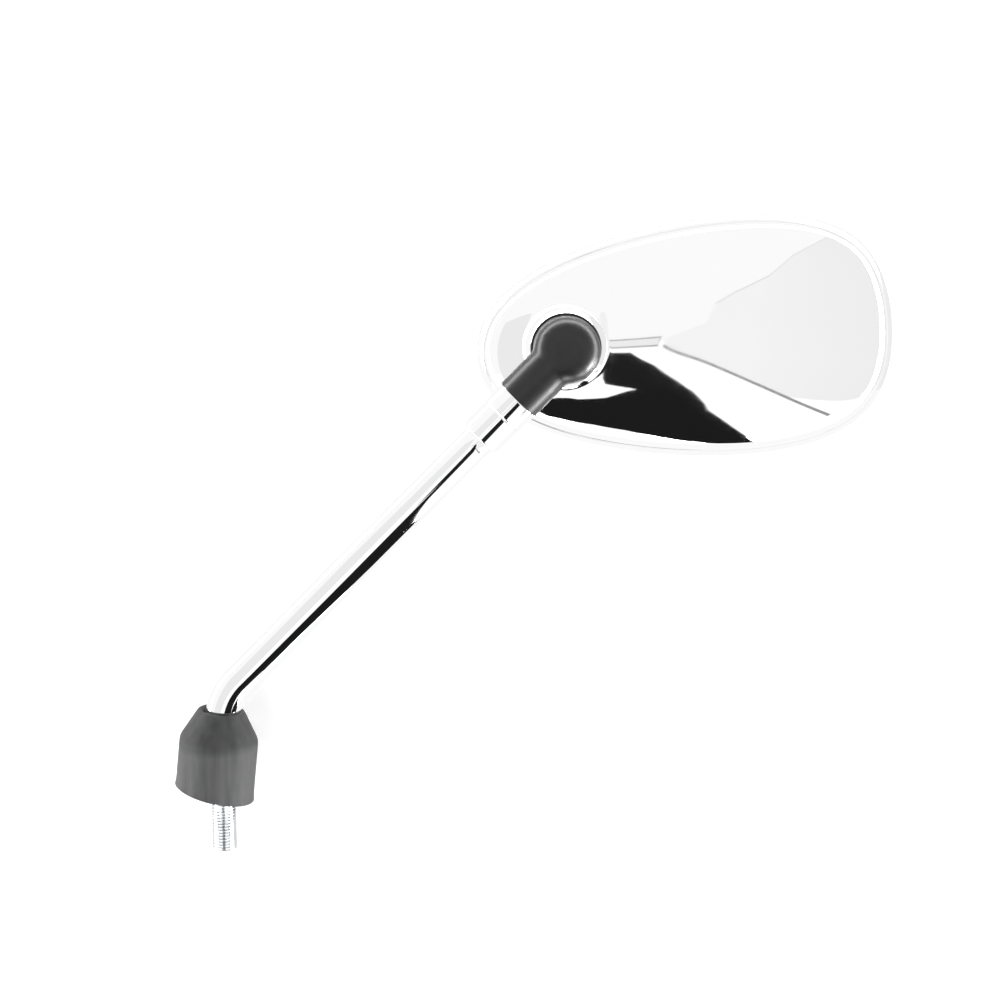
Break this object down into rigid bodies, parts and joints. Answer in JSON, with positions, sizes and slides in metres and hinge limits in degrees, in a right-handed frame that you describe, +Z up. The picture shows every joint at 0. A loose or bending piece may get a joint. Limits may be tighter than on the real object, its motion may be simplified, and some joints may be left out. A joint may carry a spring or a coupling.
{
  "type": "motorcycle mirror",
  "caption": "Chromed handlebar mirror: teardrop head on a ball joint, black elbow cap, bent chromed stem, rubber boot and threaded stud.",
  "frame": {"origin": "on the stud's axis at the clamping face, where the flat washer meets the bracket when the nut is down", "axes": "+Z up the stud, +X towards the head, -Y out of the head's chromed back; the glass faces +Y"},
  "size_m": [0.2932, 0.056, 0.2563],
  "materials": {
    "chromed_shell": "chromed ABS, mirror bright",
    "chromed_rim": "chromed ABS, mirror bright",
    "mirror_glass": "silvered convex glass",
    "foam": "closed-cell foam",
    "zinc": "die-cast zinc, as cast",
    "spring_steel": "phosphated spring steel",
    "zinc_steel": "zinc-plated steel",
    "nylon": "natural nylon",
    "bright_steel": "turned bright steel",
    "black_cap": "satin black elastomer",
    "chromed_brass": "chromed brass, mirror bright",
    "chromed_steel": "chromed steel tube, mirror bright",
    "rubber": "moulded EPDM rubber, matt"
  },
  "bodies": {
    "stem": {"stem": "chromed_steel", "stem_collar": "chromed_brass", "stem_ferrule": "chromed_brass", "threaded_stud": "zinc_steel", "cross_pin": "bright_steel", "elbow_core": "zinc", "elbow_cap": "black_cap", "boot": "rubber"},
    "ball_stud": {"ball_stud": "bright_steel", "retaining_ring": "spring_steel"},
    "ball_liner": {"liner_outer": "nylon", "liner_inner": "nylon"},
    "head": {"shell": "chromed_shell", "rim": "chromed_rim", "glass": "mirror_glass", "glass_pad": "foam", "pressure_cup": "zinc", "disc_spring": "spring_steel", "socket_plate": "zinc_steel", "plate_screws": "zinc_steel"},
    "washer": {"flat_washer": "zinc_steel"},
    "lock_nut": {"lock_nut": "zinc_steel"}
  },
  "joints": [
    {"name": "head_roll", "type": "hinge", "parent": "stem", "child": "ball_stud", "pos_m": [0.13882, 0.022, 0.18667], "axis": [0, 1, 0], "range_deg": [-45, 45]},
    {"name": "head_pan", "type": "hinge", "parent": "ball_stud", "child": "ball_liner", "pos_m": [0.13882, 0.022, 0.18667], "axis": [0, 0, 1], "range_deg": [-12, 12]},
    {"name": "head_tilt", "type": "hinge", "parent": "ball_liner", "child": "head", "pos_m": [0.13882, 0.022, 0.18667], "axis": [1, 0, 0], "range_deg": [-12, 12]},
    {"name": "washer_travel", "type": "slide", "parent": "stem", "child": "washer", "axis": [0, 0, 1], "range_m": [-0.008, 0.0025]},
    {"name": "nut_spin", "type": "hinge", "parent": "washer", "child": "lock_nut", "pos_m": [0, 0, 0.008], "axis": [0, 0, 1], "range_deg": [-2304, 720]}
  ],
  "couplings": [
    {"joint": "nut_spin", "follows": "washer_travel", "rad_per_m": 5026.5}
  ]
}
